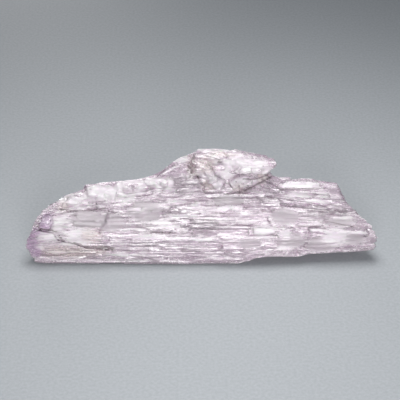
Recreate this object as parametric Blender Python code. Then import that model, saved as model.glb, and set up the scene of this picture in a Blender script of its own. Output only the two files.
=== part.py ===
"""A rough kunzite crystal, the lilac spodumene, lying on its flat underside.

It is one solid. Its body is a bundle of laths, the thin parallel ledges of a
striated crystal. They lie side by side round the section, follow rails that run
along X, and step up or down where they are broken. Lumps are joined on for the
knob and the broken crests, and chips and a crack are cut away.

X runs along the striations, left to right. Y points away from the front face
and Z is up. Lengths are in millimetres, and become metres where a mesh is made.
"""

import math
import random

import bmesh
import bpy
from mathutils import Vector

MM = 0.001
SEED = 9
ORIGIN = (0.25, 0.13, 0.0)  # under the middle of the finished crystal, where its frame starts

# The rails that the laths follow, from their left end to their right, in their order round the section.
RAILS = {
    "foot": [(-27.9, -8.7, 0.3), (-27.0, -9.0, 0.0), (7.0, -9.0, 0.0), (8.9, -8.8, 0.7), (10.1, -8.6, 1.3),
             (16.3, -8.4, 1.0), (17.6, -8.3, 1.5), (22.4, -8.0, 1.8), (26.7, -7.7, 1.6), (29.5, -7.4, 1.9)],
    "front": [(-29.2, -8.2, 2.7), (-27.0, -8.8, 2.4), (7.0, -8.9, 2.4), (29.7, -7.6, 3.0)],
    "ridge": [(-29.4, -7.6, 3.9), (-27.5, -8.1, 5.0), (0.0, -8.0, 5.0), (12.0, -7.7, 5.1), (29.8, -7.2, 4.4)],
    "low_top": [(-28.3, -6.6, 5.4), (-26.5, -5.6, 5.9), (0.0, -4.6, 6.1), (22.0, -4.9, 5.6), (28.8, -5.0, 5.3)],
    "high_top": [(-27.7, -4.4, 6.3), (-24.0, -2.8, 6.6), (-20.0, -1.2, 6.9), (-4.0, -0.6, 7.3), (13.0, -0.4, 7.2),
                 (26.7, -2.4, 6.2)],
    "shoulder": [(-26.6, -2.8, 6.8), (-22.0, -0.6, 7.0), (-18.0, 0.8, 7.4), (-7.5, 1.6, 8.1), (-2.0, 1.4, 9.0),
                 (3.0, 1.8, 9.3), (10.0, 2.0, 8.9), (12.2, 1.8, 7.7), (24.3, 0.4, 6.9)],
    "crest": [(-25.4, -1.6, 7.0), (-23.7, 0.2, 7.1), (-20.3, 1.6, 7.4), (-17.9, 2.9, 8.0), (-9.9, 3.5, 8.5),
              (-7.3, 4.0, 9.1), (-3.7, 4.9, 11.9), (0.5, 5.4, 13.3), (3.6, 5.5, 13.5), (10.2, 5.2, 12.3),
              (11.6, 4.8, 10.4), (12.6, 4.2, 8.1), (18.7, 4.5, 8.2), (23.6, 3.9, 7.8)],
    "back_top": [(-25.6, -0.6, 5.4), (-23.0, 2.2, 5.8), (-17.5, 5.0, 6.5), (-9.9, 6.0, 6.6), (-7.3, 6.4, 7.0),
                 (0.5, 7.4, 11.0), (8.0, 7.2, 10.2), (13.0, 6.2, 6.4), (22.9, 5.7, 6.3)],
    "back_ridge": [(-26.6, -0.4, 3.6), (-22.0, 4.0, 4.2), (-16.0, 7.4, 4.6), (0.0, 8.8, 6.0), (12.0, 8.4, 5.2),
                   (24.0, 6.0, 4.2)],
    "back_foot": [(-27.0, -1.4, 0.6), (-21.0, 4.2, 0.0), (-15.0, 7.6, 0.0), (8.0, 8.6, 0.0), (20.0, 7.2, 0.9),
                  (25.4, 3.4, 1.8)],
    "sole": [(-27.4, -5.0, 0.2), (-26.0, -3.6, 0.0), (7.0, -0.2, 0.0), (11.0, -0.2, 0.9), (27.6, -2.6, 1.8)],
}

# How many laths lie between each rail and the next, and how far they step, as a share of LATH_STEP.
LATHS = {
    "foot": (5, 0.6), "front": (5, 0.8), "ridge": (6, 0.9), "low_top": (7, 1.0), "high_top": (5, 1.0),
    "shoulder": (4, 1.2), "crest": (3, 1.2), "back_top": (3, 1.4), "back_ridge": (3, 1.6), "back_foot": (2, 0.6),
    "sole": (2, 0.6),
}
STATIONS = 36
STATION_DRIFT = 0.25  # how far a lath's stations lie off their even places, in stations
EDGE_DRIFT = 0.2  # how far a lath's edge lies off its even place, in laths
PATCH_WIDTH = 1.0  # the patch that gives the direction out of the body, in rails and as a share of the length
PATCH_LENGTH = 0.06
LATH_STEP = 0.15
LATH_LENGTHS = (2, 2, 3, 3, 4, 4, 5, 6, 8, 12)  # in stations
LATH_TILT = 0.10
BREAK_RUN = 0.08  # half the length of a break along X, in stations
BREAK_SLANT = 0.3  # how far along a break leans from one edge of its lath to the other, in stations
BREAK_DRIFT = 0.2
RISER = 0.12  # the share of a lath's width that its riser takes
FULL_WIDTH = 0.6  # a narrower lath steps less
FADE_STATIONS = 2  # the laths step less this near to their ends
END_SPREAD = 0.008  # how far short of its rails a lath may end, as a share of its length
END_RINGS = (0.4, 0.8)  # how far each ring of an end face lies towards its spine
END_SPINE = (0.25, 0.75)  # the spine's ends, as shares of the way from front to back
END_PUSH = 0.5
END_RELIEF = 0.1
END_RUN = 5  # how many corners in a row are shifted together

# Ledges: whole strips that stand higher or lower, as the places they lie between, the reach
# along X, and the height. A place counts rails round the section, so 4.5 is midway from
# high_top to shoulder.
LEDGES = [
    ((0.0, 1.4), (-30.0, -12.0), -0.25),
    ((1.4, 2.1), (-15.0, 3.0), -0.20),
    ((2.1, 3.2), (-16.0, -2.0), 0.25),
    ((1.6, 2.7), (16.0, 30.0), -0.25),
    ((2.7, 3.3), (12.0, 30.0), 0.15),
    ((3.3, 3.9), (14.0, 30.0), -0.20),
    ((3.9, 4.6), (11.0, 30.0), 0.35),
    ((4.6, 5.3), (13.0, 22.0), -0.20),
    ((5.3, 6.0), (14.0, 30.0), 0.30),
    ((3.2, 4.0), (-27.0, -17.0), -0.40),
    ((4.0, 5.0), (-12.0, 0.0), 0.25),
    ((7.6, 8.6), (-14.0, 16.0), 0.45),
]

# Lumps: the broken pieces of the knob and the crests. Each is the hull of one or two rounded boxes,
# as their middles and how far they reach along X, Y and Z.
LUMPS = {
    "knob_core": [((5.0, 4.5, 11.5), (6.0, 1.9, 1.6)), ((4.6, 2.3, 8.8), (2.6, 1.0, 0.9))],
    "knob_left_cheek": [((0.4, 3.2, 12.0), (2.2, 1.7, 1.1)), ((1.5, 2.7, 10.9), (1.9, 1.5, 1.1))],
    "knob_left_chin": [((2.1, 1.9, 10.2), (1.5, 1.2, 1.0)), ((3.2, 1.4, 9.1), (1.3, 1.1, 0.9))],
    "knob_right_cheek": [((6.9, 3.0, 11.8), (1.9, 1.6, 1.1)), ((10.6, 3.3, 11.7), (2.8, 1.8, 1.1))],
    "knob_right_chin": [((6.0, 1.6, 9.3), (1.4, 1.2, 0.9)), ((8.3, 2.3, 10.4), (1.9, 1.3, 0.9))],
    "knob_left_brow": [((0.8, 4.9, 12.6), (2.0, 1.7, 0.9)), ((3.4, 4.8, 12.7), (1.6, 1.7, 0.9))],
    "knob_right_brow": [((6.0, 4.8, 12.5), (2.2, 1.7, 0.9)), ((9.8, 4.5, 11.8), (2.6, 1.6, 0.8))],
    "crest_low": [((-22.6, -0.7, 6.5), (2.0, 1.8, 0.8)), ((-20.0, 0.4, 6.9), (1.8, 1.7, 1.0))],
    "crest_middle": [((-18.2, 1.4, 7.4), (2.0, 2.0, 1.1)), ((-15.4, 0.9, 7.3), (2.0, 1.8, 1.1))],
    "crest_high": [((-13.2, 2.2, 7.7), (2.0, 1.8, 1.0)), ((-10.2, 2.4, 7.9), (2.0, 1.6, 1.0))],
    "crest_end": [((-8.2, 2.9, 8.3), (1.8, 1.4, 1.0)), ((-5.8, 2.7, 8.7), (1.5, 1.2, 0.9))],
    "tip_block": [((-25.9, -6.3, 5.7), (1.2, 0.8, 0.6)), ((-25.7, -4.8, 6.1), (1.1, 0.9, 0.6))],
    "ridge_patch": [((9.4, -6.9, 5.2), (1.9, 0.9, 0.6)), ((14.2, -6.8, 5.2), (2.2, 1.0, 0.6))],
    "end_patch": [((19.6, -6.6, 5.2), (2.0, 0.9, 0.5)), ((26.4, -6.5, 4.9), (2.4, 0.8, 0.5))],
}
LUMP_POINTS = 16  # on each box
LUMP_BOXINESS = 0.55  # from 1, round, to 0, a box
LUMP_SCATTER = (0.85, 1.0)

# Crumbs: single small lumps that break up the knob and the crests.
CRUMBS = [
    (-23.6, -1.4, 6.4), (-21.8, -1.4, 7.1), (-19.4, -0.8, 7.3), (-16.8, -0.5, 7.9), (-15.4, -0.6, 7.2),
    (-13.3, 0.6, 7.7), (-12.2, 1.0, 8.4), (-10.2, 1.4, 8.4), (-8.0, 1.8, 8.9), (-6.2, 1.8, 9.0),
    (-0.4, 1.6, 11.8), (1.5, 1.4, 11.5), (0.6, 2.6, 12.6), (2.2, 0.8, 10.4), (3.1, 1.9, 12.2),
    (5.9, 1.8, 11.4), (7.6, 1.5, 12.1), (9.6, 1.6, 11.8), (7.9, 0.8, 10.1), (6.2, 0.5, 9.2),
]
CRUMB_SIZE = (1.2, 0.8, 0.6)
CRUMB_RANGE = (0.7, 1.2)
CRUMB_POINTS = 14

# Chips: the shapes cut away, made as the lumps are.
CHIPS = {
    "facet": [((-23.9, -5.3, 6.3), (1.5, 1.3, 0.6))],
    "seam": [((4.4, 2.1, 12.2), (0.35, 0.5, 0.5)), ((4.2, 0.4, 9.7), (0.3, 0.5, 0.5))],
    "window": [((-18.6, -5.9, 6.0), (3.2, 0.9, 0.6)), ((-18.2, -2.7, 6.7), (3.0, 0.9, 0.6))],
    "mark": [((11.2, -2.4, 6.6), (1.2, 0.5, 0.5))],
    "front_facet": [((17.6, -8.6, 2.3), (2.0, 0.5, 0.8)), ((27.0, -8.1, 2.5), (2.4, 0.5, 0.7))],
}

# The crack that runs in from the left tip and along the front.
CRACK = [(-28.6, -6.6, 5.7), (-27.4, -6.8, 5.5), (-24.5, -7.4, 5.3), (-23.7, -8.4, 4.5), (-21.1, -8.5, 3.9),
         (-19.0, -8.6, 3.1), (-14.6, -8.8, 2.8)]
CRACK_WIDTH = 0.35
CRACK_DEPTH = 1.3
CRACK_INWARD = (0, 1, -0.5)
CRACK_ACROSS = (0, 0.4, 1)

FLOOR_SIZE = (90, 60, 20)


def rail_point(name, share):
    """The point a share of the way along a rail, from 0 at its left end to 1 at its right."""
    points = RAILS[name]
    x = points[0][0] + (points[-1][0] - points[0][0]) * share
    for start, end in zip(points, points[1:]):
        if x <= end[0]:
            return Vector(start).lerp(Vector(end), (x - start[0]) / (end[0] - start[0]))
    return Vector(points[-1])


def body_point(place, share):
    """A point of the smooth body, at a place round the section and a share of the way along."""
    names = list(RAILS)
    rail = math.floor(place)
    near = rail_point(names[rail % len(names)], share)
    return near.lerp(rail_point(names[(rail + 1) % len(names)], share), place - rail)


def outward(place, share):
    """The direction out of the body there, taken over a wide enough patch to be smooth."""
    across = body_point(place + PATCH_WIDTH / 2, share) - body_point(place - PATCH_WIDTH / 2, share)
    ends = max(share - PATCH_LENGTH / 2, 0), min(share + PATCH_LENGTH / 2, 1)
    along = body_point(place, ends[1]) - body_point(place, ends[0])
    return along.cross(across).normalized()


def ledge_height(place, x):
    return sum(
        height for places, along, height in LEDGES
        if places[0] <= place < places[1] and along[0] <= x < along[1]
    )


def lath_run(rng, place, step):
    """A lath's course: at each station its share of the way along, its slant and its height."""
    spacing = 1 / (STATIONS - 1)
    shares = [(station + rng.uniform(-STATION_DRIFT, STATION_DRIFT)) * spacing for station in range(STATIONS)]
    shares[0], shares[-1] = rng.uniform(0, END_SPREAD), 1 - rng.uniform(0, END_SPREAD)
    heights = []
    level = rng.gauss(0, step)
    left = rng.randint(1, max(LATH_LENGTHS))
    slants = [0.0] * STATIONS
    for station in range(STATIONS):
        ledge = ledge_height(place, body_point(place, shares[station]).x)
        if 1 < station < STATIONS - 1 and (left <= 0 or ledge != last_ledge):
            level = rng.gauss(0, step)
            left = rng.choice(LATH_LENGTHS)
            slants[station - 1 : station + 1] = [rng.uniform(-BREAK_SLANT, BREAK_SLANT) * spacing] * 2
            middle = (station - 0.5 + rng.uniform(-BREAK_DRIFT, BREAK_DRIFT)) * spacing
            shares[station - 1 : station + 1] = middle - BREAK_RUN * spacing, middle + BREAK_RUN * spacing
        last_ledge = ledge
        left -= 1
        heights.append(level + ledge)
    return list(zip(shares, slants, heights))


def lath_edges(rng):
    """Every lath of the section, as its two edges' places and how far it steps."""
    laths = []
    for rail, (count, steps) in enumerate(LATHS.values()):
        cuts = [rail + (i + rng.uniform(-EDGE_DRIFT, EDGE_DRIFT)) / count for i in range(count + 1)]
        cuts[0], cuts[-1] = rail, rail + 1
        for low, high in zip(cuts, cuts[1:]):
            riser = (high - low) * RISER
            laths.append((low + riser, high - riser, steps * LATH_STEP))
    return laths


def body_sections(rng):
    """The corners of each section of the body, with two for each lath."""
    sections = [[] for _ in range(STATIONS)]
    for low, high, step in lath_edges(rng):
        run = lath_run(rng, (low + high) / 2, step)
        tilt = rng.gauss(0, LATH_TILT)
        for section, (share, slant, height) in zip(sections, run):
            width = (body_point(high, share) - body_point(low, share)).length
            fade = min(share, 1 - share) * STATIONS / FADE_STATIONS
            relief = min(1, width / FULL_WIDTH, fade)
            for place, side in ((low, -1), (high, 1)):
                rise = (height + tilt * side) * relief
                there = share + slant * side * relief
                section.append(body_point(place, there) + outward(place, there) * rise)
    return sections


def end_rings(section, push, rng):
    """The broken face that closes an end: rings that shrink to its spine, a little off each time."""
    near = min(section, key=lambda corner: corner.y)
    far = max(section, key=lambda corner: corner.y)
    rings = []
    for share in END_RINGS:
        shifts = [rng.uniform(-END_RELIEF, END_RELIEF) for _ in section]
        ring = []
        for i, corner in enumerate(section):
            along = (corner.y - near.y) / (far.y - near.y)
            aim = near.lerp(far, min(max(along, END_SPINE[0]), END_SPINE[1]))
            ring.append(corner.lerp(aim, share) + Vector((push * share + shifts[i // END_RUN], 0, 0)))
        rings.append(ring)
    return rings


def body_mesh(rng):
    """The bundle of laths: its left end drawn out to the right, section by section."""
    bm = bmesh.new()
    sections = body_sections(rng)
    left_rings = end_rings(sections[0], -END_PUSH, rng)
    right_rings = end_rings(sections[-1], END_PUSH, rng)
    first, *others = left_rings[::-1] + sections + right_rings
    face = bm.faces.new([bm.verts.new(corner) for corner in first])
    for section in others:
        made = bmesh.ops.extrude_face_region(bm, geom=[face, *face.edges])["geom"]
        face = next(item for item in made if isinstance(item, bmesh.types.BMFace))
        for vert, corner in zip(face.verts, section):
            vert.co = corner
    bmesh.ops.poke(bm, faces=[f for f in bm.faces if len(f.verts) > 4])
    return bm


def lump_mesh(boxes, rng, points=LUMP_POINTS):
    """A broken piece: the hull of points scattered on rounded boxes."""
    bm = bmesh.new()
    for middle, size in boxes:
        for _ in range(points):
            direction = Vector([rng.gauss(0, 1) for _ in range(3)]).normalized()
            boxy = [math.copysign(abs(part) ** LUMP_BOXINESS, part) for part in direction]
            scatter = rng.uniform(*LUMP_SCATTER)
            bm.verts.new([m + s * b * scatter for m, s, b in zip(middle, size, boxy)])
    hull = bmesh.ops.convex_hull(bm, input=bm.verts[:])
    loose = {v for v in hull["geom_interior"] + hull["geom_unused"] if isinstance(v, bmesh.types.BMVert)}
    bmesh.ops.delete(bm, geom=list(loose), context="VERTS")
    return bm


def crack_mesh():
    """A wedge that follows the crack, with its edge inside the body."""
    bm = bmesh.new()
    inward = Vector(CRACK_INWARD).normalized() * CRACK_DEPTH
    gape = Vector(CRACK_ACROSS).normalized() * CRACK_WIDTH / 2
    sections = [(Vector(p) - inward / 2 + gape, Vector(p) + inward, Vector(p) - inward / 2 - gape) for p in CRACK]
    face = bm.faces.new([bm.verts.new(corner) for corner in sections[0]])
    for section in sections[1:]:
        made = bmesh.ops.extrude_face_region(bm, geom=[face, *face.edges])["geom"]
        face = next(item for item in made if isinstance(item, bmesh.types.BMFace))
        for vert, corner in zip(face.verts, section):
            vert.co = corner
    return bm


def floor_mesh():
    """The room under the crystal, which leaves its underside flat to rest on."""
    bm = bmesh.new()
    floor = bmesh.ops.create_cube(bm, size=1.0)["verts"]
    bmesh.ops.translate(bm, verts=floor, vec=(0, 0, -0.5))
    bmesh.ops.scale(bm, verts=floor, vec=FLOOR_SIZE)
    return bm


def as_object(name, bm, material=None):
    """Turns a finished bmesh, in millimetres, into an object with outward faces, in metres."""
    bmesh.ops.recalc_face_normals(bm, faces=bm.faces[:])
    bmesh.ops.triangulate(bm, faces=bm.faces[:])
    bmesh.ops.translate(bm, verts=bm.verts[:], vec=-Vector(ORIGIN))
    bmesh.ops.scale(bm, verts=bm.verts[:], vec=(MM, MM, MM))
    mesh = bpy.data.meshes.new(name)
    bm.to_mesh(mesh)
    bm.free()
    thing = bpy.data.objects.new(name, mesh)
    bpy.context.scene.collection.objects.link(thing)
    if material:
        mesh.materials.append(material)
    return thing


def combine(thing, name, bm, operation):
    """Joins a shape to the crystal or cuts it away, and keeps it as a hidden wire."""
    tool = as_object(name, bm)
    tool.hide_render = True
    tool.display_type = "WIRE"
    modifier = thing.modifiers.new(name, "BOOLEAN")
    modifier.operation = operation
    modifier.solver = "EXACT"
    modifier.object = tool


def kunzite_material():
    material = bpy.data.materials.new("kunzite")
    material.use_nodes = True
    shader = material.node_tree.nodes["Principled BSDF"]
    shader.inputs["Base Color"].default_value = (0.80, 0.70, 0.80, 1)
    shader.inputs["Roughness"].default_value = 0.2
    shader.inputs["Metallic"].default_value = 0.0
    shader.inputs["IOR"].default_value = 1.66
    shader.inputs["Transmission Weight"].default_value = 0.8
    return material


def main():
    for thing in list(bpy.data.objects):
        bpy.data.objects.remove(thing)
    rng = random.Random(SEED)
    crystal = as_object("kunzite_crystal", body_mesh(rng), kunzite_material())
    for name, boxes in LUMPS.items():
        combine(crystal, name, lump_mesh(boxes, rng), "UNION")
    for number, middle in enumerate(CRUMBS, 1):
        size = [reach * rng.uniform(*CRUMB_RANGE) for reach in CRUMB_SIZE]
        combine(crystal, f"crumb_{number}", lump_mesh([(middle, size)], rng, CRUMB_POINTS), "UNION")
    for name, boxes in CHIPS.items():
        combine(crystal, name, lump_mesh(boxes, rng), "DIFFERENCE")
    combine(crystal, "crack", crack_mesh(), "DIFFERENCE")
    combine(crystal, "floor", floor_mesh(), "DIFFERENCE")


main()
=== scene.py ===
"""The looks of a rough kunzite crystal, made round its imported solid.

A copy of the solid is sliced along the striations, and its fine laths are raised or lowered. The
knob, the crests and the ends are roughened as broken crystal. Marks that the photograph shows are
placed where a ray from the camera meets the crystal, and are kept as attributes for the material.
"""

import math
import random
from bisect import bisect

import bmesh
import bpy
import numpy as np
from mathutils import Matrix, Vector, kdtree, noise
from mathutils.bvhtree import BVHTree


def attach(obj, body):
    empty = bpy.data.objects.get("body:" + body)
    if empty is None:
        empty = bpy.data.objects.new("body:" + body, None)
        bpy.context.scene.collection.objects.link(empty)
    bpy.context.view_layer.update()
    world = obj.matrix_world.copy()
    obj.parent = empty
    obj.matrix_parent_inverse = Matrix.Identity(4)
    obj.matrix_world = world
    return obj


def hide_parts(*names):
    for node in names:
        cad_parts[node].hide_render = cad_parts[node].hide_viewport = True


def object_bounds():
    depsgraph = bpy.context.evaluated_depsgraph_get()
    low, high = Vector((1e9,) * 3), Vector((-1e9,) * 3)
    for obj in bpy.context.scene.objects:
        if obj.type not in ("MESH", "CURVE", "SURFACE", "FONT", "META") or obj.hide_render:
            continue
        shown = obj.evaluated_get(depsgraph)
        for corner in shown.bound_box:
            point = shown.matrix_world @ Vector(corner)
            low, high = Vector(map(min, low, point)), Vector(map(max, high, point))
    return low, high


MM = 0.001
SEED = 5

# The camera, fitted to the crystal's outline in the photograph.
PHOTO_SIDE = 400
SENSOR = 36.0
LENS = 132.0
CAMERA_DISTANCE = 0.25
CAMERA_ELEVATION = math.radians(35)
CAMERA_TARGET = Vector((-0.00025, -0.00013, 0.0069))
NEAREST_SEEN = 0.01
PIXEL = 0.171 * MM  # at the crystal
PIXEL_LEVEL = PIXEL / math.sin(CAMERA_ELEVATION)  # what a pixel's height spans on a level face, along Y
PIXEL_UPRIGHT = PIXEL / math.cos(CAMERA_ELEVATION)  # likewise on an upright face, along Z

# The copy of the solid, in metres and radians.
MERGE_REACH = 2e-6  # points closer than this become one
CUT_REACH = 1e-6  # points this near a cut count as on it
FLAT_ANGLE = math.radians(2)  # faces that meet flatter than this become one
SHARP_ANGLE = math.radians(22)  # edges that bend more are shaded sharp

# Fine laths, in millimetres.
UPRIGHT_LATHS = (0.22, 0.58)  # least and greatest width of a lath on a face that stands up
LEVEL_LATHS = (0.25, 0.70)  # likewise on a face that lies level
RISER = 0.05  # the width of the slope between two laths
STATION_GAP = (0.45, 1.0)  # between cuts across the laths
STATION_TILT = 0.12  # how much those cuts lean, as a slope
LATH_REACH = (1.5, 14.0)  # how far a lath runs before it breaks
LATH_STEP = 0.06  # how much the laths differ in height
FLATTENED = 0.8  # the share of a lath's height that is lost where the crystal is broken or clear
CALM_EDGE = (0.0, 0.3)  # the depths in a clear mark between which the laths die out
LEAST_TURN = 0.01  # keeps the share of a face's turn defined on the ends

# Broken faces: cut up until no edge is longer, in millimetres, and at most so many times.
ROUGH_EDGE = 0.40
ROUGH_CUTS = 3
ROUGH_SLOPE = 0.6  # a face turned this far to an end is cut up
ROUGH_LEAST = 0.1  # and so is a place as broken as this
BREAK_SLOPES = (0.45, 0.75)  # how far a face turns to an end before it is broken a little, and wholly
BREAK_EDGE = (-0.05, 0.2)  # how deep a place lies in a broken piece for the same
HACKLE = [((1.5, 0.9, 0.9), 0, 0.34), ((0.6, 0.4, 0.4), 9, 0.12)]  # cells, offset and depth of the relief
HACKLE_MIDDLE = 0.45  # the noise's middle

# Thin lines and specks: the mesh is cut up near them likewise.
LINE_EDGE = 0.10
LINE_CUTS = 3
LINE_REACH = 0.28  # how near to a line's middle
LINE_GAP = 0.5  # between the points along a line, in the photograph's pixels

# Marks of the photograph, by what they do: where each lies, and how far it reaches along and
# across the striations, all in the photograph's pixels.
MARKS = {
    # The white marks: frosted patches of the crystal, and painted highlights where thin ledges, ridges and
    # facets catch the lamp.
    "frost_and_glint": [
        ((60, 222), (12, 9)), ((48, 236), (12, 6)), ((81, 237), (21, 9)), ((73, 203), (13, 8)),
        ((102, 195), (12, 12)), ((125, 197), (11, 8)), ((156, 184), (11, 6)), ((140, 190), (8, 4)),
        ((181, 159), (10, 4.5)), ((213, 180), (7, 6)), ((247, 171), (15, 8)), ((238, 162), (14, 6)),
        ((216, 150.5), (22, 3.5)), ((302, 185.5), (26, 3.0)), ((300, 195), (20, 3.5)), ((323, 195), (8, 5)),
        ((315, 201.5), (20, 2)), ((263, 231), (14, 7)), ((285, 234), (8, 5)), ((335, 237), (16, 9)),
        ((360, 233), (16, 1.8)), ((314, 230), (10, 1.5)), ((283, 248), (7, 3.5)), ((228, 208.5), (17, 2.2)),
        ((245, 213), (10, 1.5)), ((196, 204.5), (6, 3.5)), ((60, 252), (14, 2)), ((70, 244), (10, 2)),
        ((138, 210), (14, 2)), ((170, 190), (14, 2)), ((160, 222), (12, 2)), ((170, 226), (22, 1.8)),
        ((150, 237), (16, 2)), ((182, 216), (18, 1.6)), ((120, 255), (22, 2)), ((200, 240), (14, 1.8)),
        ((176, 201), (12, 1.6)), ((345, 218), (12, 1.5)), ((40, 248), (6, 3)),
    ],
    "violet": [
        ((46, 222), (8.5, 9.5)), ((32, 244), (7, 11)), ((36, 232), (6, 4)), ((36, 252), (7, 6)),
    ],
    "stain": [
        ((192, 167), (8, 12)), ((206, 164), (13, 9)), ((63, 206), (8, 6)), ((92, 236), (13, 8)),
        ((240, 190), (11, 6)), ((208, 185), (10, 6)), ((262, 176), (9, 7)), ((95, 250), (20, 6)),
        ((66, 252), (34, 8)), ((224, 154), (20, 3)),
    ],
    "shade": [
        ((86, 220), (24, 9)), ((145, 212), (24, 11)), ((228, 201), (20, 6)), ((326, 215), (36, 10)),
        ((320, 209), (26, 4)), ((181, 186), (20, 10)), ((284, 216), (16, 6)), ((206, 226), (30, 6)),
        ((190, 246), (12, 3)), ((275, 199), (30, 3)), ((150, 227), (38, 10)), ((110, 215), (20, 6)),
        ((172, 214), (26, 7)), ((196, 232), (24, 6)), ((75, 254), (36, 7)), ((150, 244), (30, 4)),
        ((230, 222), (24, 4)), ((300, 243), (20, 4)),
    ],
    "clear": [
        ((86, 220), (20, 9)), ((145, 212), (20, 10)), ((229, 201), (18, 5)), ((285, 216), (15, 8)),
        ((322, 245), (16, 8)), ((340, 222), (16, 4)), ((60, 222), (12, 8)), ((263, 231), (13, 6)),
        ((290, 240), (16, 7)), ((352, 239), (14, 6)), ((48, 236), (9, 5)), ((110, 222), (16, 8)),
        ((250, 243), (14, 5)), ((213, 180), (6, 5)), ((104, 198), (9, 8)), ((245, 166), (12, 5)),
    ],
}

# Thin dark lines, each as its corners and how wide it is, in the photograph's pixels.
LINES = [
    ([(40, 229), (50, 230), (57, 232), (62, 240), (65, 242), (76, 243.5), (84, 246.5), (102, 248)], 1.6),
    ([(98, 248), (102, 248), (114, 248.7)], 3.0),
    ([(268, 175), (256, 179), (243, 179)], 0.9),
    ([(271, 177), (258, 184), (244, 191)], 1.2),
    ([(205, 156), (212, 157), (220, 160)], 0.9),
    ([(197, 176), (199, 180), (202, 183)], 1.4),
    ([(225, 194), (233, 194)], 1.3),
    ([(261, 209.5), (265, 212)], 1.6),
    ([(280, 188.5), (300, 188.7), (325, 188.5)], 1.0),
    ([(57, 209), (72, 211), (90, 210.5), (105, 208)], 1.0),
    ([(307, 220), (330, 222), (353, 227)], 0.9),
    ([(296, 226), (320, 227)], 0.8),
    ([(253, 228), (253.5, 236)], 0.9),
    ([(275, 227), (276, 234), (279, 238)], 1.0),
    ([(182, 251), (200, 251.5)], 0.9),
    ([(150, 232), (176, 233)], 0.8),
    ([(212, 213), (240, 214)], 0.8),
    ([(190, 219), (216, 220)], 0.8),
    ([(188, 166), (192, 171), (190, 177)], 1.6),
]

# Dark specks, each as its place and how far across it is, in the photograph's pixels.
SPECKS = [
    ((219.5, 161.5), 3.2), ((224, 185), 1.6), ((239, 186), 1.8), ((243, 184), 1.4), ((240, 193), 1.2),
    ((236, 182), 1.2), ((194, 162), 1.6), ((188, 170), 1.4), ((198, 187), 1.4), ((38, 226), 1.2),
    ((196, 170), 1.2), ((263, 166), 1.0), ((300, 222), 1.2), ((266, 228), 1.0), ((207, 209), 1.0),
]

# The broken pieces, in millimetres: the middle of each and how far it reaches.
BROKEN = [
    ((5.2, 2.6, 10.9), (7.6, 3.6, 3.5)),
    ((-21.6, -0.8, 7.0), (3.2, 2.0, 1.4)),
    ((-16.8, 0.6, 7.8), (3.6, 2.4, 1.6)),
    ((-12.0, 1.8, 8.2), (3.6, 2.0, 1.4)),
    ((-7.4, 2.2, 8.8), (3.0, 1.6, 1.3)),
]

# The material's colours.
LILAC = (0.50, 0.41, 0.475, 1)
PALE = (0.70, 0.595, 0.67, 1)
WHITE = (1.0, 0.925, 0.96, 1)
BEIGE = (0.73, 0.60, 0.53, 1)
VIOLET = (0.56, 0.41, 0.58, 1)
SHADE = (0.375, 0.32, 0.355, 1)
GREY = (0.54, 0.49, 0.52, 1)
DARK = (0.16, 0.12, 0.13, 1)

# The material's noises, drawn out along X: how far each reaches along and across, in millimetres,
# its detail and its offset.
NOISES = {
    "fine": (1.8, 0.17, 1.0, 0.0),
    "hair": (3.0, 0.14, 0.0, 15.0),
    "broad": (5.0, 0.45, 2.0, 30.0),
    "grain": (0.40, 0.22, 2.0, 60.0),
    "clouds": (5.0, 2.2, 2.0, 90.0),
}
NOISE_MIDDLE = 0.5

# The marks' edges: the noise that frays each, how far, and the depths where it begins and is full.
FRAYS = {
    "clear": ("grain", 0.5, 0.0, 0.3),
    "frost_and_glint": ("fine", 1.8, 0.0, 0.4),
    "shade": ("fine", 1.2, 0.0, 0.5),
    "stain": ("grain", 1.2, 0.0, 0.6),
    "violet": ("fine", 0.8, 0.0, 0.4),
    "line": ("grain", 0.9, 0.2, 0.6),
}

# Layers that show where two things both do: for each of the two, where it begins and where it is full.
LAYERS = {
    # painted sheen: white streaks of noise that stand in for the silky reflection along the striations.
    "painted_sheen": (("fine", 0.52, 0.64), ("broad", 0.42, 0.62)),
    "bright": (("tone", 0.76, 1.0), ("hair", 0.42, 0.56)),
    "hairs": (("tone", 0.5, 0.05), ("hair", 0.58, 0.44)),
    "fibres": (("stain", 0.0, 1.0), ("hair", 0.48, 0.40)),
    "crush": (("broken", 0.0, 1.0), ("clouds", 0.30, 0.52)),
}

# How much each thing counts for the crystal's paleness, whiteness, roughness and relief. The
# whiteness is the greatest of its things, and the others are sums.
PALENESS = {"broad": 1.0, "clouds": 0.6}
PALE_EDGE = (0.62, 0.98)  # the sums at which paleness begins and is full
# The whiteness holds painted highlights and painted sheen as well as the frosted and broken white.
WHITENESS = {"frost_and_glint": 0.95, "painted_sheen": 0.52, "bright": 0.52, "crush": 0.9}
QUIET_LOSS = 0.8  # the whiteness that clear places lose
ROUGHNESS = {"white": 0.25, "grain": 0.42, "quiet": 0.3}
RELIEF = {"fine": 1.0, "hair": 0.5, "grain": 0.6}
CLEAR_LOSS = 0.8  # the share of the relief that clear places lose

# What lies over the crystal's own colour, from the lowest layer up: how strong it is, and its colour.
TINTS = {
    "shade": (0.85, SHADE),
    "hairs": (0.5, SHADE),
    "quiet": (0.75, GREY),
    "white": (1.0, WHITE),
    "stain": (0.5, BEIGE),
    "fibres": (0.6, SHADE),
    "violet": (0.7, VIOLET),
    "line": (0.85, DARK),
}

# The crystal's values that are the same all over.
OPTICS = {
    "Metallic": 0.0,
    "IOR": 1.66,
    "Transmission Weight": 0.6,
    "Subsurface Weight": 0.5,
    "Subsurface Radius": (1.0, 0.8, 1.0),
    "Subsurface Scale": 0.0015,
}
ABSORBED_COLOUR = (0.95, 0.84, 0.94, 1)
ABSORBED_DENSITY = 24.0
BUMP_STRENGTH = 0.7
BUMP_DISTANCE = 0.00007

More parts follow.
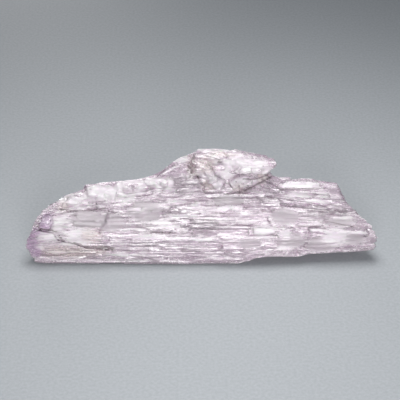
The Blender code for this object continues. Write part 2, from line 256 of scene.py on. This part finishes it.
# The studio. A lamp is its place, what it shines at, its power and its spread in degrees.
FLOOR_SIZE = 1.5
FLOOR_COLOURS = ((0.225, 0.238, 0.25, 1), (0.262, 0.275, 0.288, 1))
SPECKLE_SIZE = 0.5  # in millimetres
SPECKLE_EDGE = (0.3, 0.7)
FLOOR_ROUGHNESS = 0.7
LAMP_SIZE = 0.08
LAMPS = {
    "top_lamp": ((0.005, 0.03, 0.13), (0.005, -0.03, 0.0), 0.085, 100),
    "front_lamp": ((0.01, -0.20, 0.065), (0.0, 0.0, 0.0), 0.48, 180),
    "back_lamp": ((-0.06, 0.20, 0.03), (0.0, 0.0, 0.004), 0.17, 180),
}
SKY_COLOUR = (0.88, 0.93, 1.0, 1)
SKY_STRENGTH = 0.32

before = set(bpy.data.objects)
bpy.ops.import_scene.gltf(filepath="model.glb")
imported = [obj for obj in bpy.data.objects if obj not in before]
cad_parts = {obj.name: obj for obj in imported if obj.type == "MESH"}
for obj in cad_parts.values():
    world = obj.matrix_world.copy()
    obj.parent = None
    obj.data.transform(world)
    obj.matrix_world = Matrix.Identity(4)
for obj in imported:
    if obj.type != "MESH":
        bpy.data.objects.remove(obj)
cad_low, cad_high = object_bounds()


def camera_back():
    """The direction from the crystal to the camera."""
    return Vector((0, -math.cos(CAMERA_ELEVATION), math.sin(CAMERA_ELEVATION)))


def surface_point(tree, px, py):
    """The point of the crystal that the camera sees at a pixel of the photograph."""
    back = camera_back()
    turn = (-back).to_track_quat("-Z", "Y")
    half = PHOTO_SIDE / 2
    across = (px - half) / half * SENSOR / 2 / LENS
    up = (half - py) / half * SENSOR / 2 / LENS
    ray = (turn @ Vector((across, up, -1))).normalized()
    return tree.ray_cast(CAMERA_TARGET + back * CAMERA_DISTANCE, ray)[0]


def mark_depths(tree, name, points):
    """How deep each point lies in the nearest mark: 1 at a mark's middle, 0 at its edge."""
    depths = np.full(len(points), -1.0)
    for pixel, (along, across) in MARKS[name]:
        middle = np.array(surface_point(tree, *pixel))
        reach = np.array((along * PIXEL, across * PIXEL_LEVEL, across * PIXEL_UPRIGHT))
        depths = np.maximum(depths, 1 - np.linalg.norm((points - middle) / reach, axis=1))
    return depths


def line_points(tree):
    """Points along every thin line and at every speck, each with half its width."""
    found = []
    for corners, width in LINES:
        for (ax, ay), (bx, by) in zip(corners, corners[1:]):
            steps = math.ceil(math.hypot(bx - ax, by - ay) / LINE_GAP)
            for step in range(steps + 1):
                share = step / steps
                point = surface_point(tree, ax + (bx - ax) * share, ay + (by - ay) * share)
                if point:
                    found.append((point, width / 2 * PIXEL_UPRIGHT))
    found += [(surface_point(tree, *pixel), width / 2 * PIXEL_UPRIGHT) for pixel, width in SPECKS]
    return found


def nearest_finder(points):
    """A tree that finds the nearest of some points."""
    finder = kdtree.KDTree(len(points))
    for number, point in enumerate(points):
        finder.insert(point, number)
    finder.balance()
    return finder


def line_depths(bm, lines, finder):
    """How deep each vertex lies in the nearest line or speck: 1 at its middle, a half at its edge."""
    depths = np.zeros(len(bm.verts))
    for number, vert in enumerate(bm.verts):
        _, nearest, distance = finder.find(vert.co)
        depths[number] = max(1 - distance / lines[nearest][1] / 2, -1)
    return depths


def lath_cuts(low, high, widths, rng):
    """The places of the fine laths' edges between two places."""
    cuts = []
    place = low + rng.uniform(*widths)
    while place < high:
        cuts.append(place)
        place += rng.uniform(*widths)
    return cuts


def lath_stretches(cuts, low, high, rng):
    """For each fine lath, where it breaks along X, and each stretch's height and tone."""
    laths = []
    for _ in range(len(cuts) + 1):
        breaks, place = [], low
        while place < high:
            place += rng.uniform(*LATH_REACH)
            breaks.append(place)
        laths.append((breaks, [(rng.gauss(0, LATH_STEP), rng.random()) for _ in range(len(breaks) + 1)]))
    return laths


def stretch_at(cuts, laths, place, x):
    """The height and tone of the stretch of lath at a place."""
    breaks, stretches = laths[bisect(cuts, place - RISER / 2)]
    return stretches[bisect(breaks, x)]


def slice_mesh(bm, normal, place):
    """Cuts every face along a plane, at a place in millimetres along its normal."""
    geom = bm.verts[:] + bm.edges[:] + bm.faces[:]
    middle = Vector(normal) * place * MM
    bmesh.ops.bisect_plane(bm, geom=geom, dist=CUT_REACH, plane_co=middle, plane_no=normal)


def smooth_step(value, low, high):
    """Rises smoothly from 0 at a low value to 1 at a high one."""
    share = min(max((value - low) / (high - low), 0), 1)
    return share * share * (3 - 2 * share)


def inside(point, middle, reach):
    """1 at the middle of an ellipsoid, 0 at its surface and less outside."""
    return 1 - math.sqrt(sum(((p - m) / r) ** 2 for p, m, r in zip(point, middle, reach)))


def brokenness(point):
    """How broken the crystal is at a point in millimetres, from 0 to 1."""
    return smooth_step(max(inside(point, *piece) for piece in BROKEN), *BREAK_EDGE)


def edge_middle(edge):
    return (edge.verts[0].co + edge.verts[1].co) / 2


def is_broken(edge):
    """True on a steep end face and in a broken piece."""
    steep = max((abs(face.normal.x) for face in edge.link_faces), default=0)
    return steep > ROUGH_SLOPE or brokenness(edge_middle(edge) / MM) > ROUGH_LEAST


def split_long(bm, longest, times, wanted):
    """Halves the wanted edges that are longer than a length in millimetres, a number of times over."""
    for _ in range(times):
        long_edges = [edge for edge in bm.edges if edge.calc_length() > longest * MM and wanted(edge)]
        if long_edges:
            bmesh.ops.subdivide_edges(bm, edges=long_edges, cuts=1)
            bmesh.ops.triangulate(bm, faces=[face for face in bm.faces if len(face.verts) > 3])


def hackle(point):
    """The relief of a break, in millimetres: facets a millimetre across with finer ones on them."""
    relief = 0
    for (along, across, up), offset, depth in HACKLE:
        cell = (point.x / along + offset, point.y / across, point.z / up)
        relief -= depth * (noise.voronoi(cell)[0][0] - HACKLE_MIDDLE)
    return relief


def sliced_mesh(rng):
    """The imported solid, cut along and across its striations, and the places of the cuts along them."""
    bm = bmesh.new()
    bm.from_mesh(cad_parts["kunzite_crystal"].data)
    bmesh.ops.remove_doubles(bm, verts=bm.verts[:], dist=MERGE_REACH)
    bmesh.ops.dissolve_limit(bm, angle_limit=FLAT_ANGLE, verts=bm.verts[:], edges=bm.edges[:])
    low, high = cad_low / MM, cad_high / MM
    upright = lath_cuts(low.z, high.z, UPRIGHT_LATHS, rng)
    level = lath_cuts(low.y, high.y, LEVEL_LATHS, rng)
    for normal, cuts in (((0, 0, 1), upright), ((0, 1, 0), level)):
        for place in cuts:
            slice_mesh(bm, normal, place)
            slice_mesh(bm, normal, place + RISER)
    for place in lath_cuts(low.x, high.x, STATION_GAP, rng):
        tilt = Vector((1, rng.gauss(0, STATION_TILT), rng.gauss(0, STATION_TILT))).normalized()
        slice_mesh(bm, tilt, place)
    bmesh.ops.triangulate(bm, faces=bm.faces[:])
    return bm, upright, level


def raise_laths(bm, strengths, upright, level, rng):
    """Raises and lowers the laths and roughens the breaks, and adds what the material needs of both.

    No vertex leaves the solid's box.
    """
    low, high = cad_low / MM, cad_high / MM
    upright_laths = lath_stretches(upright, low.x, high.x, rng)
    level_laths = lath_stretches(level, low.x, high.x, rng)
    strengths["tone"] = np.zeros(len(bm.verts))
    strengths["broken"] = np.zeros(len(bm.verts))
    for number, vert in enumerate(bm.verts):
        point, normal = vert.co / MM, vert.normal
        in_piece = brokenness(point)
        broken = max(in_piece, smooth_step(abs(normal.x), *BREAK_SLOPES))
        calm = smooth_step(strengths["clear"][number], *CALM_EDGE)
        turn = abs(normal.y) / (abs(normal.y) + abs(normal.z) + LEAST_TURN)
        height_up, tone_up = stretch_at(upright, upright_laths, point.z, point.x)
        height_level, tone_level = stretch_at(level, level_laths, point.y, point.x)
        steps = height_up * turn + height_level * (1 - turn)
        rise = steps * (1 - FLATTENED * max(broken, calm)) + hackle(point) * broken
        moved = zip(vert.co + normal * rise * MM, cad_low, cad_high)
        vert.co = [min(max(place, least), greatest) for place, least, greatest in moved]
        strengths["tone"][number] = tone_up if turn > 0.5 else tone_level
        strengths["broken"][number] = in_piece


def crystal_mesh():
    """The crystal's fine mesh, and by name what its material reads at each vertex."""
    rng = random.Random(SEED)
    bm, upright, level = sliced_mesh(rng)
    split_long(bm, ROUGH_EDGE, ROUGH_CUTS, is_broken)
    tree = BVHTree.FromBMesh(bm)
    lines = line_points(tree)
    finder = nearest_finder([point for point, _ in lines])
    split_long(bm, LINE_EDGE, LINE_CUTS, lambda edge: finder.find(edge_middle(edge))[2] < LINE_REACH * MM)
    bm.normal_update()
    points = np.array([vert.co for vert in bm.verts])
    strengths = {name: mark_depths(tree, name, points) for name in MARKS}
    strengths["line"] = line_depths(bm, lines, finder)
    raise_laths(bm, strengths, upright, level, rng)
    return bm, strengths


def make_crystal():
    bm, strengths = crystal_mesh()
    mesh = bpy.data.meshes.new("crystal")
    bm.to_mesh(mesh)
    bm.free()
    for name, strength in strengths.items():
        mesh.attributes.new(name, "FLOAT", "POINT").data.foreach_set("value", strength.astype(np.float32))
    mesh.shade_smooth()
    mesh.set_sharp_from_angle(angle=SHARP_ANGLE)
    mesh.materials.append(kunzite())
    crystal = bpy.data.objects.new("crystal", mesh)
    bpy.context.scene.collection.objects.link(crystal)
    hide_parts("kunzite_crystal")
    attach(crystal, "root")


def connect(tree, socket, value):
    """Links a socket's value, or sets it."""
    if isinstance(value, bpy.types.NodeSocket):
        tree.links.new(value, socket)
    else:
        socket.default_value = value


def add_node(tree, kind, **settings):
    """A new shader node. A setting named after an input sets it, or links it if it is a socket."""
    node = tree.nodes.new(kind)
    for name, value in settings.items():
        if name in node.bl_rna.properties:
            setattr(node, name, value)
        else:
            connect(tree, node.inputs[name.replace("_", " ")], value)
    return node


def mix_colour(tree, factor, a, b):
    node = add_node(tree, "ShaderNodeMix", data_type="RGBA")
    for socket, value in ((node.inputs[0], factor), (node.inputs[6], a), (node.inputs[7], b)):
        connect(tree, socket, value)
    return node.outputs[2]


def maths(tree, operation, a, b, clamp=False):
    node = add_node(tree, "ShaderNodeMath", operation=operation, use_clamp=clamp)
    connect(tree, node.inputs[0], a)
    connect(tree, node.inputs[1], b)
    return node.outputs[0]


def product(tree, a, b):
    return maths(tree, "MULTIPLY", a, b)


def difference(tree, a, b, clamp=False):
    return maths(tree, "SUBTRACT", a, b, clamp)


def combined(tree, operation, at, shares):
    """Adds up some of a place's values, or takes the greatest, each times its share."""
    result, *others = [product(tree, at[name], share) for name, share in shares.items()]
    for other in others:
        result = maths(tree, operation, result, other)
    return result


def streaks(tree, along, across, detail=2.0, offset=0.0):
    """Noise drawn out along X. The sizes are in millimetres."""
    place = tree.nodes.new("ShaderNodeTexCoord").outputs["Object"]
    scale = (1 / (along * MM), 1 / (across * MM), 1 / (across * MM))
    drawn = add_node(tree, "ShaderNodeMapping", Vector=place, Scale=scale, Location=(offset, 0, 0))
    return add_node(tree, "ShaderNodeTexNoise", Vector=drawn.outputs[0], Scale=1.0, Detail=detail).outputs[0]


def ramp(tree, factor, low, high):
    """Stretches a value so that low becomes 0 and high becomes 1."""
    return add_node(tree, "ShaderNodeMapRange", Value=factor, From_Min=low, From_Max=high).outputs[0]


def mark(tree, name):
    """What an attribute of the mesh says."""
    return add_node(tree, "ShaderNodeAttribute", attribute_name=name).outputs["Fac"]


def frayed(tree, name, fray, amount, low, high):
    """A mark's strength, from 0 to 1, with an edge that a noise frays."""
    shift = product(tree, difference(tree, fray, NOISE_MIDDLE), amount)
    return ramp(tree, maths(tree, "ADD", mark(tree, name), shift), low, high)


def kunzite_places(tree):
    """By name, how strongly each noise, mark and layer shows at a place of the crystal."""
    at = {name: streaks(tree, *sizes) for name, sizes in NOISES.items()}
    at["tone"] = mark(tree, "tone")
    at["broken"] = mark(tree, "broken")
    for name, (fray, *edge) in FRAYS.items():
        at[name] = frayed(tree, name, at[fray], *edge)
    for name, ((one, *one_edge), (other, *other_edge)) in LAYERS.items():
        at[name] = product(tree, ramp(tree, at[one], *one_edge), ramp(tree, at[other], *other_edge))
    at["quiet"] = product(tree, at["clear"], difference(tree, 1.0, at["frost_and_glint"]))
    whitest = combined(tree, "MAXIMUM", at, WHITENESS)
    at["white"] = difference(tree, whitest, product(tree, at["quiet"], QUIET_LOSS), clamp=True)
    at["pale"] = ramp(tree, combined(tree, "ADD", at, PALENESS), *PALE_EDGE)
    return at


def kunzite():
    """Lilac crystal: clear and glossy in places, frosted white where it is broken, with painted highlights
    and painted sheen in its colour.
    """
    material = bpy.data.materials.new("kunzite")
    material.use_nodes = True
    tree = material.node_tree
    shader = tree.nodes["Principled BSDF"]
    at = kunzite_places(tree)
    colour = mix_colour(tree, at["pale"], LILAC, PALE)
    for name, (strength, tint) in TINTS.items():
        colour = mix_colour(tree, product(tree, at[name], strength), colour, tint)
    tree.links.new(colour, shader.inputs["Base Color"])
    tree.links.new(combined(tree, "ADD", at, ROUGHNESS), shader.inputs["Roughness"])
    for name, value in OPTICS.items():
        shader.inputs[name].default_value = value
    kept_relief = difference(tree, 1.0, product(tree, at["clear"], CLEAR_LOSS))
    relief = product(tree, combined(tree, "ADD", at, RELIEF), kept_relief)
    bump = add_node(tree, "ShaderNodeBump", Strength=BUMP_STRENGTH, Distance=BUMP_DISTANCE, Height=relief)
    tree.links.new(bump.outputs[0], shader.inputs["Normal"])
    absorb = add_node(tree, "ShaderNodeVolumeAbsorption", Color=ABSORBED_COLOUR, Density=ABSORBED_DENSITY)
    tree.links.new(absorb.outputs[0], tree.nodes["Material Output"].inputs["Volume"])
    return material


def make_floor():
    bm = bmesh.new()
    bmesh.ops.create_grid(bm, x_segments=1, y_segments=1, size=FLOOR_SIZE)
    mesh = bpy.data.meshes.new("floor")
    bm.to_mesh(mesh)
    bm.free()
    material = bpy.data.materials.new("floor")
    material.use_nodes = True
    tree = material.node_tree
    shader = tree.nodes["Principled BSDF"]
    speckle = ramp(tree, streaks(tree, SPECKLE_SIZE, SPECKLE_SIZE), *SPECKLE_EDGE)
    tree.links.new(mix_colour(tree, speckle, *FLOOR_COLOURS), shader.inputs["Base Color"])
    shader.inputs["Roughness"].default_value = FLOOR_ROUGHNESS
    mesh.materials.append(material)
    floor = bpy.data.objects.new("floor", mesh)
    bpy.context.scene.collection.objects.link(floor)


def make_lamp(name, place, aim, power, spread):
    """A square soft light that shines from a place towards an aim."""
    lamp = bpy.data.lights.new(name, "AREA")
    lamp.size = LAMP_SIZE
    lamp.energy = power
    lamp.spread = math.radians(spread)
    thing = bpy.data.objects.new(name, lamp)
    thing.location = place
    thing.rotation_euler = (Vector(aim) - Vector(place)).to_track_quat("-Z", "Y").to_euler()
    bpy.context.scene.collection.objects.link(thing)


def make_camera():
    data = bpy.data.cameras.new("camera")
    data.lens = LENS
    data.sensor_width = SENSOR
    data.clip_start = NEAREST_SEEN
    camera = bpy.data.objects.new("camera", data)
    back = camera_back()
    camera.location = CAMERA_TARGET + back * CAMERA_DISTANCE
    camera.rotation_euler = (-back).to_track_quat("-Z", "Y").to_euler()
    bpy.context.scene.collection.objects.link(camera)
    bpy.context.scene.camera = camera


def make_studio():
    make_floor()
    for name, settings in LAMPS.items():
        make_lamp(name, *settings)
    world = bpy.data.worlds.new("world")
    world.use_nodes = True
    background = world.node_tree.nodes["Background"]
    background.inputs["Color"].default_value = SKY_COLOUR
    background.inputs["Strength"].default_value = SKY_STRENGTH
    bpy.context.scene.world = world
    bpy.context.scene.view_settings.view_transform = "Standard"
    make_camera()


make_crystal()
make_studio()
